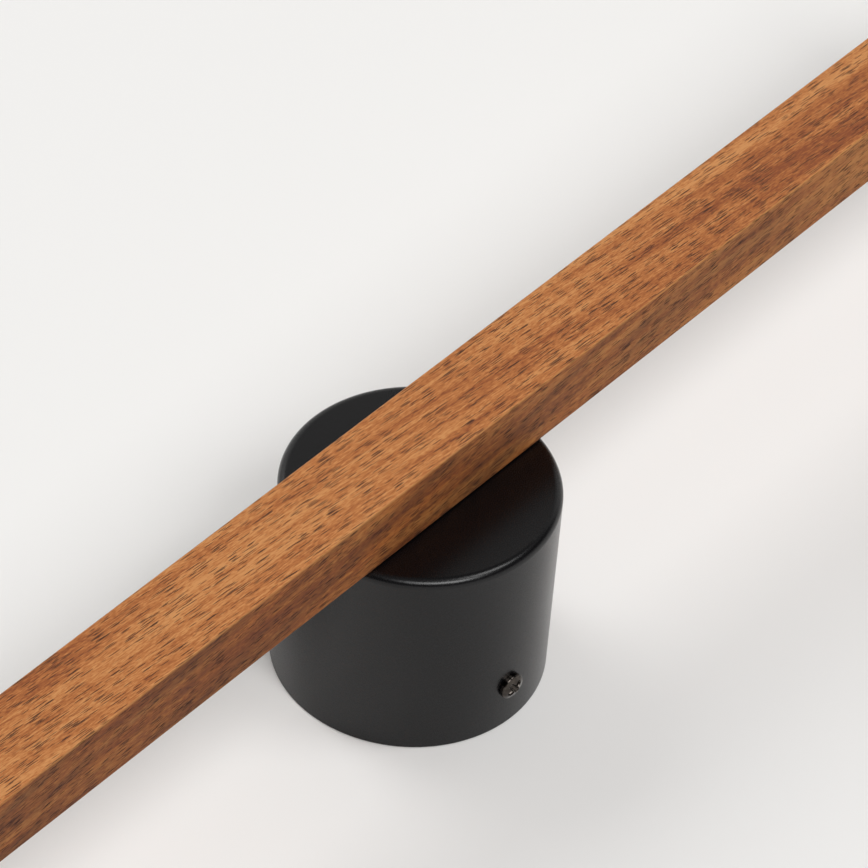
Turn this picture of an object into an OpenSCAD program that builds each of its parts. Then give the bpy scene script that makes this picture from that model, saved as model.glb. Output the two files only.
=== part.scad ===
// Linear LED wall light: a solid wood bar with a recessed LED strip, carried by a
// friction swivel on a deep round canopy that hides the wall plate, terminals and driver.
// Origin: centre of the wall face. +Z points out of the wall, along the swivel's axis.
// +X runs along the bar, and the light leaves the bar towards +Y.

/* [Canopy] */
// Outside diameter of the canopy
canopy_diameter = 80; // [79:0.5:120]
// Height of the canopy, from the wall to its flat end
canopy_height = 66; // [62:0.5:100]
// Sheet thickness of the canopy
canopy_wall = 1.5; // [1:0.1:1.8]
// Outside rounding between the canopy's end and its side
canopy_edge = 2.5; // [2:0.1:5]
// Rounding of the canopy's wall-side rim
rim_edge = 0.4; // [0.2:0.1:0.5]

/* [Canopy screws] */
// Thread diameter of the two screws that hold the canopy on the wall plate
screw_thread = 4; // [3:0.5:5]
// Head diameter of the canopy screws
screw_head = 8; // [6:0.5:10]
// Head height of the canopy screws
screw_head_height = 2.4; // [1.8:0.1:3.2]
// Length of the canopy screws under the head
screw_length = 6; // [5:0.5:7]
// Height of the canopy screws above the wall
screw_height = 15.5; // [13.5:0.5:18]
// Direction of the canopy screws, counted from the bar's direction
screw_direction = 85; // [80:1:100]

/* [Wall plate] */
// Sheet thickness of the wall plate
plate_thickness = 1.5; // [1:0.1:2]
// Gap between the wall plate's edge and the inside of the canopy
plate_gap = 1.5; // [1:0.1:2]
// Width of the two turned-up tabs
tab_width = 14; // [11:0.5:16]
// Distance between the two wall screw slots
slot_spacing = 52; // [49:0.5:54]
// Width of a wall screw slot
slot_width = 5; // [4:0.1:5.5]
// End-to-end length of a wall screw slot
slot_length = 10; // [8:0.5:11]
// Bore of the cable grommet
cable_bore = 9; // [7:0.5:10]
// Wall of the cable grommet
grommet_wall = 2; // [1.5:0.1:2.5]

/* [Terminal block and driver] */
// Wire bore of each terminal
pole_bore = 3; // [2.6:0.1:3.2]
// Width of the terminal block along its wires
terminal_width = 17; // [15:0.5:18]
// Height of the terminal block
terminal_height = 11; // [10:0.5:13]
// Length of the driver's case
driver_length = 46; // [42:0.5:46]
// Width of the driver's case
driver_width = 19; // [17:0.5:19]
// Height of the driver's case with its lid
driver_height = 30; // [27:0.5:32]
// Wall of the driver's case
driver_wall = 1.5; // [1:0.1:2]
// Thickness of the driver's lid
lid_thickness = 2; // [1.5:0.1:2.5]
// Distance from the swivel's axis to the driver's near side
driver_offset = 9.5; // [9:0.1:10.5]

/* [Swivel] */
// Outside diameter of the hollow stem
stem_diameter = 10; // [9:0.5:11]
// Bore of the hollow stem
stem_bore = 6.5; // [5:0.5:7]
// Distance across the stem's two flats
stem_flats = 8.5; // [8:0.1:8.8]
// Length of stem above its plate, inside the bar
stem_reach = 3.5; // [2:0.5:5]
// Radial clearance between the stem and its bush
swivel_clearance = 0.06; // [0.02:0.01:0.1]
// Radial clearance of parts that sit on the stem's thread
thread_clearance = 0.05; // [0.02:0.01:0.1]
// Thickness of the bush's flange, between the canopy and the bar
bush_flange = 0.5; // [0.3:0.1:1]
// Diameter of the bush's flange and of the thrust washer
washer_diameter = 20; // [18:0.5:21]
// Thickness of the thrust washer
thrust_thickness = 1; // [0.5:0.1:1.5]
// Thickness of the stop washer
stop_thickness = 1.5; // [1:0.1:2]
// Diameter of the stop pin
stop_pin_diameter = 3; // [2:0.1:3]
// Distance from the swivel's axis to the stop pin
stop_radius = 12.5; // [12.3:0.1:14]
// Free height of the disc spring
spring_height = 1.2; // [1:0.1:1.6]
// Sheet thickness of the disc spring
spring_thickness = 0.6; // [0.4:0.1:0.8]
// Distance across the flats of the two nuts
nut_flats = 14; // [13:0.5:16]
// Height of each nut
nut_height = 4; // [3:0.5:4.5]
// Length of stem left below the lock nut
stem_tail = 2; // [1:0.5:4]

/* [Bar] */
// Length of the wood bar
bar_length = 600; // [440:10:1200]
// Width of the wood bar, across its front face
bar_width = 27; // [26:0.5:34]
// Depth of the wood bar, away from the wall
bar_depth = 22; // [21:0.5:26]
// Easing of the wood bar's edges
bar_edge = 0.5; // [0.3:0.1:1]
// Length of the steel plate let into the back of the bar
anchor_length = 60; // [50:1:64]
// Width of that plate
anchor_width = 18; // [16:0.5:19]
// Thickness of that plate
anchor_thickness = 3; // [2:0.1:3.5]
// Distance between the plate's two wood screws
anchor_spacing = 42; // [34:1:44]

/* [LED slot] */
// Length of the diffuser
diffuser_length = 568; // [400:2:568]
// Width of the diffuser
diffuser_width = 12; // [11:0.5:13]
// Thickness of the diffuser
diffuser_thickness = 2; // [1.5:0.1:2.5]
// Depth of the LED slot under the diffuser
slot_floor = 5; // [4.5:0.1:5]
// Wood ledge that carries the diffuser on each side
ledge = 1.25; // [1:0.05:1.5]
// Thickness of the aluminium heat sink
sink_thickness = 1; // [0.8:0.1:1.5]
// Width of the LED strip
strip_width = 8; // [6:0.5:8]
// Thickness of the LED strip
strip_thickness = 0.4; // [0.2:0.1:0.6]
// Distance between two LEDs
led_pitch = 10; // [8:0.5:20]
// Diameter of the lead between the driver and the LED strip
cable_diameter = 2.6; // [2:0.1:2.6]

/* [Hidden] */
$fn = 64;

// Colours
paint_black = "#1b1b1c";
screw_black = "#3a3532";
zinc = "#b9bcbf";
brass = "#b9974a";
nylon = "#e6e2d6";
rubber = "#26262a";
case_white = "#e9e9e6";
board_green = "#2f5d3a";
wood_brown = "#9a5f33";
aluminium = "#c9ccd0";
opal = "#f4f2ea";

// General clearance of a piece that is laid into a recess
fit_clearance = 0.1;
// Overlap of a cutting tool past the face it cuts
cut = 1;

// Canopy
canopy_radius = canopy_diameter / 2;
canopy_inside = canopy_radius - canopy_wall;
canopy_ceiling = canopy_height - canopy_wall;
screw_hole_clearance = 0.2;
screw_directions = [screw_direction, screw_direction + 180];

// Wall plate
plate_radius = canopy_inside - plate_gap;
tab_corner_gap = 0.4;
tab_face = sqrt(pow(canopy_inside - tab_corner_gap, 2) - pow(tab_width / 2, 2));
tab_height = screw_height + screw_thread + 3;
collar_wall = 1.4;
collar_length = 2;
tab_bend = 1;
tab_relief = 1.5;
tab_corner = 2;
tab_back = tab_face - plate_thickness;
tab_root = tab_back - tab_bend;
grommet_flange = 1.5;
grommet_flange_height = 1.5;
grommet_radius = cable_bore / 2 + grommet_wall;
plate_hole_radius = grommet_radius + fit_clearance;

// Terminal block, which stands on the plate on the bar's light side
poles = 3;
insert_wall = 0.6;
insert_inset = 1.5;
insert_radius = pole_bore / 2 + insert_wall;
fixing_thread = 2.5;
fixing_head = 4.7;
fixing_head_height = 1.7;
fixing_hole = fixing_thread + 2 * screw_hole_clearance;
web = 0.4;
pole_pitch = 2 * (insert_radius + fit_clearance + web) + fixing_hole;
terminal_length = poles * pole_pitch;
terminal_start = grommet_radius + grommet_flange + 0.6;
terminal_screw_diameter = 3;
terminal_screw_length = 4;
pole_height = plate_thickness + terminal_height / 2;
fixing_seat = pole_height + insert_radius + 2 * fit_clearance;
pole_screw_x = terminal_width / 4;
lead_end_x = pole_screw_x - 1.5;
function pole_y(i) = terminal_start + (i + 0.5) * pole_pitch;
fixing_y = (pole_y(0) + pole_y(1)) / 2;

// Earth screw
earth_place = [21, 17];
small_thread = 3;
small_head = 5.6;
small_head_height = 2;
tag_thickness = 0.8;
tag_width = 7;
barrel_wall = 0.5;
barrel_start = 4;
barrel_length = 5;
barrel_mouth = earth_place[1] + barrel_start + barrel_length;
lead_diameter = 2.2;
lead_gap = 0.2;
barrel_radius = lead_diameter / 2 + lead_gap / 2 + barrel_wall;
barrel_height = plate_thickness + barrel_radius + lead_gap;

// Driver
driver_middle = -driver_offset - driver_width / 2;
driver_top = plate_thickness + driver_height;
case_top = driver_top - lid_thickness;
case_corner = 1.5;
ear_reach = 7;
ear_width = 8;
ear_thickness = 2;
ear_y = -driver_offset - ear_width / 2;
ear_x = driver_length / 2 + ear_reach / 2;
board_thickness = 1.6;
board_post = 4;
board_gap = 0.5;
board_level = plate_thickness + driver_wall + board_post;
board_top = board_level + board_thickness;
board_front = -driver_offset - driver_wall - board_gap;
component_room = case_top - board_top - 3;
component_gap = 0.5;
transformer_size = [15, 12];
transformer_x = 1.5;
capacitor_radius = 3.5;
capacitor_x = -14;
choke_radius = 3;
choke_x = 16;
input_x = 15;
input_pitch = 4;
output_x = -14;
connector_height = 6;
connector_depth = 5.5;
connector_wall = 1.2;
connector_socket = 4;
exit_height = board_top + connector_height / 2;
lead_start = board_front - connector_socket;
function input_lead_x(i) = input_x + (i - 0.5) * input_pitch;

// Swivel stack, from the canopy's end inwards
stem_radius = stem_diameter / 2;
bush_wall = 1.5;
bush_radius = stem_radius + swivel_clearance + bush_wall;
bush_fit = 0.03;
thrust_base = canopy_ceiling - thrust_thickness;
stop_base = thrust_base - stop_thickness;
spring_base = stop_base - spring_height;
nut_base = spring_base - nut_height;
lock_base = nut_base - nut_height;
stem_base = lock_base - stem_tail;
stop_tab_width = stop_pin_diameter;
stop_tab_tip = stop_radius + stop_pin_diameter / 2;
stop_pin_length = thrust_thickness + stop_thickness + 1;

// Bar
bar_back = canopy_height + bush_flange;
bar_front = bar_back + bar_depth;
bar_middle = (bar_back + bar_front) / 2;
light_face = bar_width / 2;
anchor_top = bar_back + anchor_thickness;
stem_top = anchor_top + stem_reach;
stem_pocket_radius = stem_radius + 0.5;
lead_hole = cable_diameter + 2.4;
stem_pocket_top = bar_middle + lead_hole / 2 + 1;
anchor_screw_thread = 3.5;
anchor_screw_head = 6.8;
anchor_screw_length = 14;

// LED slot, cut into the bar's light face
slot_width_inner = diffuser_width - 2 * ledge;
ledge_face = light_face - diffuser_thickness;
sink_face = ledge_face - slot_floor;
strip_face = sink_face + sink_thickness;
chip_face = strip_face + strip_thickness;
inner_length = diffuser_length - 2 * ledge;
sink_length = inner_length - slot_width_inner;
sink_width = slot_width_inner - 2 * fit_clearance;
strip_start = lead_hole / 2 + 2;
strip_end = sink_length / 2 - 4;
chip_size = [3.5, 0.8, 2.8];
chips_per_side = floor((strip_end - strip_start - led_pitch) / led_pitch) + 1;

// Routes of the leads inside the canopy and the stem
output_route = [[output_x, lead_start, exit_height], [output_x, -driver_offset, exit_height],
    [output_x, -driver_offset + 1.5, exit_height], [output_x + 0.5, -5, 16], [-11, -4, 24], [-6, -2, 34],
    [-1.5, -0.5, 42], [0, 0, stem_base - 4], [0, 0, stem_base - 2], [0, 0, stem_base]];
led_route = [[0, 0, stem_base], [0, 0, stem_base + 8], [0, 0, stem_top - 6],
    [0, 0, stem_top - 2], [0, 0.8, bar_middle - 3], [0, 2.8, bar_middle - 0.5],
    [0, 5, bar_middle], [0, strip_face - 1, bar_middle], [0, strip_face, bar_middle]];
function mains_route(i) = [[input_lead_x(i), lead_start, exit_height],
    [input_lead_x(i), -driver_offset, exit_height], [input_lead_x(i), -driver_offset + 1.5, exit_height],
    [14 + 3.5 * i, 0, 13.5], [14.5 + 3 * i, 7 + 6 * i, 11.5], [13.5 + i, pole_y(i) - 0.8, 8.5],
    [terminal_width / 2 + 1.5, pole_y(i), pole_height], [lead_end_x, pole_y(i), pole_height]];
earth_route = [[lead_end_x, pole_y(2), pole_height], [terminal_width / 2 + 1.5, pole_y(2), pole_height],
    [14.5, pole_y(2) + 0.8, 6.3], [earth_place[0] - 1.5, barrel_mouth + 3, 4.6],
    [earth_place[0], barrel_mouth + 0.8, barrel_height], [earth_place[0], barrel_mouth, barrel_height],
    [earth_place[0], earth_place[1] + barrel_start, barrel_height]];
tail_diameter = 0.8;
tail_spread = 2.4;
tail_reach = 2.5;
tail_level = chip_face + tail_diameter / 2;
function tail_route(sx, sz) = [[sx * 0.6, strip_face, bar_middle + sz * 0.6],
    [sx * 0.6, tail_level - 0.4, bar_middle + sz * 0.6], [sx * 1.6, tail_level, bar_middle + sz * 1.2],
    [sx * strip_start, tail_level, bar_middle + sz * tail_spread],
    [sx * (strip_start + tail_reach), tail_level, bar_middle + sz * tail_spread]];

// Rectangle with round corners, centred
module round_rect(size, r) {
    square([size[0] - 2 * r, size[1]], center = true);
    square([size[0], size[1] - 2 * r], center = true);
    for (sx = [-1, 1], sy = [-1, 1])
        translate([sx * (size[0] / 2 - r), sy * (size[1] / 2 - r)]) circle(r);
}

// Slot outline with round ends, along X and centred
module pill(length, width) {
    square([length - width, width], center = true);
    for (s = [-1, 1]) translate([s * (length - width) / 2, 0]) circle(width / 2);
}

// Turns a shape that stands on the XY plane so that it grows along +Y from a face at y
module on_light_face(y) {
    translate([0, y, bar_middle]) rotate([-90, 0, 0]) children();
}

// Places a shape that stands on the XY plane so that it grows outwards from the canopy's side
module on_canopy_side(direction, radius) {
    rotate([0, 0, direction]) translate([radius, 0, screw_height]) rotate([0, 90, 0]) children();
}

// Flat ring
module ring(outer, inner, height) {
    difference() {
        cylinder(r = outer, h = height);
        translate([0, 0, -cut]) cylinder(r = inner, h = height + 2 * cut);
    }
}

// Quarter-round corner of a revolved cup: a plain rectangle with its outer top corner rounded
module cup_section(radius, height, corner) {
    square([radius - corner, height]);
    square([radius, height - corner]);
    translate([radius - corner, height - corner]) circle(corner);
}

// Cross recess of a screw head that faces +Z at z = 0
module cross_recess(span, width, depth) {
    for (a = [0, 90]) rotate([0, 0, a]) translate([-span / 2, -width / 2, -depth])
        cube([span, width, depth + cut]);
    translate([0, 0, -depth * 1.2]) cylinder(r1 = width * 0.5, r2 = width * 0.95, h = depth * 1.2 + 0.01);
}

// Pan-head screw: head above z = 0, shank below
module pan_screw(thread, length, head, head_height) {
    corner = head_height * 0.45;
    difference() {
        union() {
            rotate_extrude() cup_section(head / 2, head_height, corner);
            translate([0, 0, -length]) cylinder(d = thread, h = length);
        }
        translate([0, 0, head_height]) cross_recess(head * 0.56, head * 0.13, head_height * 0.6);
    }
}

// Countersunk screw: head flush with z = 0, pointing down
module flat_screw(thread, length, head) {
    sink = (head - thread) / 2;
    difference() {
        union() {
            translate([0, 0, -sink]) cylinder(d1 = thread, d2 = head, h = sink);
            translate([0, 0, -length + thread]) cylinder(d = thread, h = length - thread - sink / 2);
            translate([0, 0, -length]) cylinder(d1 = 0.6, d2 = thread, h = thread);
        }
        cross_recess(head * 0.55, head * 0.14, sink * 0.7);
    }
}

// Hexagon nut with a plain bore
module hex_nut(flats, height, bore_radius) {
    difference() {
        cylinder(d = flats / cos(30), h = height, $fn = 6);
        translate([0, 0, -cut]) cylinder(r = bore_radius, h = height + 2 * cut);
    }
}

// Smooth route: a Catmull-Rom curve through hand-set points
function route_point(p, i, t) =
    let (a = p[max(i - 1, 0)], b = p[i], c = p[i + 1], d = p[min(i + 2, len(p) - 1)])
    0.5 * (2 * b + (c - a) * t + (2 * a - 5 * b + 4 * c - d) * t * t + (3 * b - a - 3 * c + d) * t * t * t);
function smooth_route(p, steps) =
    [for (i = [0 : len(p) - 2]) for (k = [0 : steps - 1]) route_point(p, i, k / steps), p[len(p) - 1]];
function unit(v) = v / norm(v);
function tangent(p, q, i) =
    i == 0 ? unit(p[1] - p[0])
    : i == len(q) - 1 ? unit(p[len(p) - 1] - p[len(p) - 2])
    : unit(q[i + 1] - q[i - 1]);
function square_to(v, t) = unit(v - (v * t) * t);
function carried(p, q, i) =
    i == 0 ? square_to(abs(tangent(p, q, 0)[0]) < 0.7 ? [1, 0, 0] : [0, 1, 0], tangent(p, q, 0))
           : square_to(carried(p, q, i - 1), tangent(p, q, i));

// Lead or cable: one closed tube along a smooth route, with its ends square to it
module lead(points, diameter, sides = 8, steps = 3) {
    q = smooth_route(points, steps);
    n = len(q);
    rings = [for (i = [0 : n - 1])
        let (t = tangent(points, q, i), u = carried(points, q, i), v = cross(t, u))
        for (k = [0 : sides - 1])
            q[i] + diameter / 2 * (cos(360 * k / sides) * u + sin(360 * k / sides) * v)];
    sides_faces = [for (i = [0 : n - 2]) for (k = [0 : sides - 1])
        let (a = i * sides + k, b = i * sides + (k + 1) % sides)
        each [[a, a + sides, b], [b, a + sides, b + sides]]];
    start_cap = [for (k = [1 : sides - 2]) [0, k, k + 1]];
    end_cap = [for (k = [1 : sides - 2]) [(n - 1) * sides, (n - 1) * sides + k + 1, (n - 1) * sides + k]];
    polyhedron(rings, concat(sides_faces, start_cap, end_cap));
}

// Deep-drawn steel cup, open at the wall, with a hole for the swivel bush and two screw holes
module canopy() {
    inner_edge = max(canopy_edge - canopy_wall, 0.3);
    color(paint_black) difference() {
        rotate_extrude() difference() {
            cup_section(canopy_radius, canopy_height, canopy_edge);
            translate([0, -cut]) cup_section(canopy_inside, canopy_ceiling + cut, inner_edge);
            translate([0, -cut]) square([bush_radius + bush_fit, canopy_height + 2 * cut]);
            difference() {
                translate([canopy_radius - rim_edge, -cut]) square([rim_edge + cut, rim_edge + cut]);
                translate([canopy_radius - rim_edge, rim_edge]) circle(rim_edge);
            }
        }
        for (a = screw_directions) on_canopy_side(a, canopy_inside - cut)
            cylinder(d = screw_thread + 2 * screw_hole_clearance, h = canopy_wall + 2 * cut);
    }
}

// Two pan-head screws through the canopy's side into the wall plate's tabs
module canopy_screws() {
    color(screw_black) for (a = screw_directions) on_canopy_side(a, canopy_radius)
        pan_screw(screw_thread, screw_length, screw_head, screw_head_height);
}

// One turned-up tab of the wall plate, bent from its sheet, pointing along +X
module plate_tab() {
    bend_outside = tab_bend + plate_thickness;
    inner_start = plate_radius * 0.8;
    intersection() {
        rotate([90, 0, 0]) linear_extrude(tab_width, center = true) {
            translate([inner_start, 0]) square([tab_root - inner_start, plate_thickness]);
            translate([tab_back, bend_outside]) square([plate_thickness, tab_height - bend_outside]);
            intersection() {
                difference() {
                    translate([tab_root, bend_outside]) circle(bend_outside);
                    translate([tab_root, bend_outside]) circle(tab_bend);
                }
                translate([tab_root, 0]) square(bend_outside);
            }
        }
        rotate([90, 0, 90]) linear_extrude(canopy_radius) translate([0, tab_height / 2])
            round_rect([tab_width, tab_height], tab_corner);
    }
}

// Round steel plate on the wall, with two turned-up tabs for the canopy screws
module wall_plate() {
    relief_width = tab_width + 2 * tab_relief;
    module drill(place, radius) {
        translate([place[0], place[1], -cut]) cylinder(r = radius, h = plate_thickness + 2 * cut);
    }
    color(zinc) difference() {
        union() {
            difference() {
                cylinder(r = plate_radius, h = plate_thickness);
                for (a = screw_directions) rotate([0, 0, a])
                    translate([tab_root - tab_relief, -relief_width / 2, -cut])
                        cube([canopy_radius, relief_width, plate_thickness + 2 * cut]);
            }
            for (a = screw_directions) {
                rotate([0, 0, a]) plate_tab();
                on_canopy_side(a, tab_back - collar_length)
                    cylinder(r = screw_thread / 2 + collar_wall, h = collar_length + plate_thickness / 2);
            }
        }
        for (a = screw_directions) on_canopy_side(a, tab_back - collar_length - cut)
            cylinder(r = screw_thread / 2 + thread_clearance, h = collar_length + plate_thickness + 2 * cut);
        for (s = [-1, 1]) translate([s * slot_spacing / 2, 0, -cut])
            linear_extrude(plate_thickness + 2 * cut) pill(slot_length, slot_width);
        drill([0, 0], plate_hole_radius);
        drill(earth_place, small_thread / 2 + thread_clearance);
        drill([0, fixing_y], fixing_thread / 2 + thread_clearance);
        for (s = [-1, 1]) drill([s * ear_x, ear_y], small_thread / 2 + thread_clearance);
    }
}

// Rubber bush in the plate's middle, for the supply cable
module cable_grommet() {
    color(rubber) rotate_extrude() difference() {
        union() {
            square([grommet_radius, plate_thickness + grommet_flange_height]);
            translate([0, plate_thickness])
                square([grommet_radius + grommet_flange, grommet_flange_height * 0.6]);
            translate([grommet_radius, plate_thickness + grommet_flange_height * 0.6])
                circle(grommet_flange_height * 0.4);
        }
        translate([-cut, -cut])
            square([cable_bore / 2 + cut, plate_thickness + grommet_flange_height + 2 * cut]);
    }
}

// Three-pole terminal block body
module terminal_block() {
    groove = 1.2;
    top = plate_thickness + terminal_height;
    color(case_white) difference() {
        translate([-terminal_width / 2, terminal_start, plate_thickness])
            cube([terminal_width, terminal_length, terminal_height]);
        for (i = [0 : poles - 1]) {
            translate([-terminal_width / 2 - cut, pole_y(i), pole_height]) rotate([0, 90, 0])
                cylinder(r = insert_radius + fit_clearance, h = terminal_width + 2 * cut);
            for (s = [-1, 1]) translate([s * pole_screw_x, pole_y(i), pole_height])
                cylinder(d = terminal_screw_diameter + 4 * fit_clearance, h = terminal_height);
        }
        for (i = [1 : poles - 1])
            translate([-terminal_width / 2 - cut, terminal_start + i * pole_pitch - groove / 2, top - groove])
                cube([terminal_width + 2 * cut, groove, groove + cut]);
        translate([0, fixing_y, plate_thickness - cut])
            cylinder(d = fixing_hole, h = terminal_height + 2 * cut);
        translate([0, fixing_y, fixing_seat])
            cylinder(d = fixing_head + 2 * screw_hole_clearance, h = terminal_height);
    }
}

// Brass tubes that join the wires of each pole, with threaded holes for their screws
module terminal_inserts() {
    length = terminal_width - 2 * insert_inset;
    color(brass) for (i = [0 : poles - 1]) translate([0, pole_y(i), pole_height]) difference() {
        translate([-length / 2, 0, 0]) rotate([0, 90, 0])
            ring(insert_radius, pole_bore / 2, length);
        for (s = [-1, 1]) translate([s * pole_screw_x, 0, 0])
            cylinder(r = terminal_screw_diameter / 2 + thread_clearance, h = pole_bore);
    }
}

// Clamping screws of the terminal block, two for each pole
module terminal_screws() {
    slit = 0.6;
    slit_depth = 0.8;
    tip = pole_height + lead_diameter / 2 + thread_clearance;
    color(zinc) for (i = [0 : poles - 1], s = [-1, 1])
        translate([s * pole_screw_x, pole_y(i), tip]) difference() {
            cylinder(d = terminal_screw_diameter, h = terminal_screw_length);
            translate([-terminal_screw_diameter, -slit / 2, terminal_screw_length - slit_depth])
                cube([2 * terminal_screw_diameter, slit, slit_depth + cut]);
        }
}

// Screw that holds the terminal block on the wall plate
module terminal_fixing_screw() {
    color(zinc) translate([0, fixing_y, fixing_seat])
        pan_screw(fixing_thread, fixing_seat, fixing_head, fixing_head_height);
}

// Earth screw on the wall plate
module earth_screw() {
    color(brass) translate([earth_place[0], earth_place[1], plate_thickness + tag_thickness])
        pan_screw(small_thread, tag_thickness + plate_thickness, small_head, small_head_height);
}

// Ring tag of the earth lead, with its crimp barrel
module earth_tag() {
    neck = 2.4;
    color(brass) translate([earth_place[0], earth_place[1], 0]) difference() {
        union() {
            translate([0, 0, plate_thickness]) cylinder(d = tag_width, h = tag_thickness);
            translate([-neck / 2, 0, plate_thickness])
                cube([neck, barrel_start + barrel_length / 2, tag_thickness]);
            translate([0, barrel_start, barrel_height]) rotate([-90, 0, 0])
                cylinder(r = barrel_radius, h = barrel_length);
        }
        translate([0, 0, plate_thickness - cut])
            cylinder(r = small_thread / 2 + screw_hole_clearance, h = tag_thickness + 2 * cut);
        translate([0, barrel_start - cut, barrel_height]) rotate([-90, 0, 0])
            cylinder(r = barrel_radius - barrel_wall, h = barrel_length + 2 * cut);
    }
}

// Green and yellow lead from the third pole to the earth screw
module earth_lead() {
    color("#8aa83c") lead(earth_route, lead_diameter);
}

// Live and neutral leads from the terminal block to the driver
module mains_leads() {
    color("#5b4636") for (i = [0, 1]) lead(mains_route(i), lead_diameter);
}

// Driver case: an open box with two screw ears and four posts for the board
module driver_case() {
    inside = [driver_length, driver_width] - 2 * [1, 1] * driver_wall;
    post = 2;
    post_place = inside / 2 - [1, 1] * post;
    post_base = plate_thickness + driver_wall / 2;
    ear_radius = ear_width / 2 - 0.5;
    color(case_white) difference() {
        union() {
            translate([0, driver_middle, plate_thickness]) difference() {
                linear_extrude(case_top - plate_thickness)
                    round_rect([driver_length, driver_width], case_corner);
                translate([0, 0, driver_wall]) linear_extrude(case_top) round_rect(inside, case_corner / 2);
            }
            for (sx = [-1, 1], sy = [-1, 1])
                translate([sx * post_place[0], driver_middle + sy * post_place[1], post_base])
                    cylinder(r = post - board_gap, h = board_level - post_base);
            for (s = [-1, 1]) translate([s * ear_x, ear_y, plate_thickness]) linear_extrude(ear_thickness) {
                circle(ear_radius);
                translate([-s * ear_reach / 4, 0])
                    square([ear_reach / 2 + 0.2, 2 * ear_radius], center = true);
            }
        }
        for (s = [-1, 1]) translate([s * ear_x, ear_y, 0])
            cylinder(r = small_thread / 2 + screw_hole_clearance, h = 3 * ear_thickness);
        for (i = [0, 1]) lead_exit(input_lead_x(i), lead_diameter);
        lead_exit(output_x, cable_diameter);
    }
}

// Hole for a lead in the driver case's near wall
module lead_exit(x, diameter) {
    translate([x, -driver_offset - driver_wall - cut, exit_height]) rotate([-90, 0, 0])
        cylinder(r = diameter / 2 + lead_gap, h = driver_wall + 2 * cut);
}

// Snap-on lid of the driver case, with a locating lip
module driver_lid() {
    lip = 1.2;
    lip_wall = 1;
    lip_outside = [driver_length, driver_width] - 2 * [1, 1] * (driver_wall + fit_clearance);
    lip_inside = lip_outside - 2 * [1, 1] * lip_wall;
    color(case_white) translate([0, driver_middle, case_top]) {
        linear_extrude(lid_thickness) round_rect([driver_length, driver_width], case_corner);
        translate([0, 0, -lip]) linear_extrude(lip) difference() {
            round_rect(lip_outside, case_corner / 2);
            round_rect(lip_inside, case_corner / 3);
        }
    }
}

// Circuit board of the driver, resting on the case's posts
module driver_board() {
    size = [driver_length, driver_width] - 2 * [1, 1] * (driver_wall + board_gap);
    color(board_green) translate([0, driver_middle, board_level])
        linear_extrude(board_thickness) round_rect(size, case_corner / 2);
}

// Transformer, capacitor, choke and the two lead connectors on the driver's board
module driver_components() {
    back = board_front - (driver_width - 2 * driver_wall - 2 * board_gap);
    module connector(places, diameter) {
        half = diameter / 2 + connector_wall;
        first = places[0] - half;
        last = places[len(places) - 1] + half;
        difference() {
            translate([first, board_front - connector_depth, board_top])
                cube([last - first, connector_depth, connector_height]);
            for (x = places) translate([x, board_front - connector_socket, exit_height]) rotate([-90, 0, 0])
                cylinder(r = diameter / 2 + lead_gap, h = connector_socket + cut);
        }
    }
    color("#4a4a48") {
        connector([input_lead_x(0), input_lead_x(1)], lead_diameter);
        connector([output_x], cable_diameter);
        translate([transformer_x - transformer_size[0] / 2, back + 2 * component_gap, board_top])
            cube([transformer_size[0], transformer_size[1], component_room * 0.8]);
        translate([capacitor_x, back + capacitor_radius + component_gap, board_top])
            cylinder(r = capacitor_radius, h = component_room * 0.9);
        translate([choke_x, back + choke_radius + component_gap, board_top])
            cylinder(r = choke_radius, h = component_room * 0.6);
    }
}

// Two screws through the driver's ears into the wall plate
module driver_screws() {
    color(zinc) for (s = [-1, 1]) translate([s * ear_x, ear_y, plate_thickness + ear_thickness])
        pan_screw(small_thread, ear_thickness + plate_thickness, small_head, small_head_height);
}

// Low-voltage lead from the driver to the lower end of the stem
module output_cable() {
    color("#e0dfda") lead(output_route, cable_diameter);
}

// Flanged nylon bush: bearing of the stem, and slip ring between canopy and bar
module swivel_bush() {
    color(nylon) difference() {
        union() {
            translate([0, 0, canopy_height]) cylinder(d = washer_diameter, h = bush_flange);
            translate([0, 0, canopy_ceiling]) cylinder(r = bush_radius, h = canopy_wall + bush_flange / 2);
        }
        translate([0, 0, canopy_ceiling - cut])
            cylinder(r = stem_radius + swivel_clearance, h = canopy_wall + bush_flange + 2 * cut);
    }
}

// Weld stud under the canopy's end, which stops the swivel before the lead twists
module stop_pin() {
    color(zinc) translate([-stop_radius, 0, canopy_ceiling - stop_pin_length])
        cylinder(d = stop_pin_diameter, h = stop_pin_length);
}

// Nylon washer between the canopy and the turning stop washer
module thrust_washer() {
    color(nylon) translate([0, 0, thrust_base])
        ring(washer_diameter / 2, stem_radius + swivel_clearance, thrust_thickness);
}

// Steel washer keyed to the stem's flats, with a tab that meets the stop pin
module stop_washer() {
    color(zinc) translate([0, 0, stop_base]) difference() {
        union() {
            cylinder(d = washer_diameter, h = stop_thickness);
            translate([0, -stop_tab_width / 2, 0]) cube([stop_tab_tip, stop_tab_width, stop_thickness]);
        }
        translate([0, 0, -cut]) linear_extrude(stop_thickness + 2 * cut)
            stem_outline(stem_radius + thread_clearance, stem_flats + 2 * thread_clearance);
    }
}

// Round with two flats
module stem_outline(radius, flats) {
    intersection() {
        circle(radius);
        square([2 * radius + cut, flats], center = true);
    }
}

// Conical disc spring that keeps the swivel's friction
module disc_spring() {
    inner = stem_radius + 2 * thread_clearance;
    outer = washer_diameter / 2 - 0.5;
    color(zinc) translate([0, 0, spring_base]) rotate_extrude()
        polygon([[inner, 0], [outer, spring_height - spring_thickness],
            [outer, spring_height], [inner, spring_thickness]]);
}

// Nut that loads the spring
module stem_nut() {
    color(zinc) translate([0, 0, nut_base]) hex_nut(nut_flats, nut_height, stem_radius + thread_clearance);
}

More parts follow.
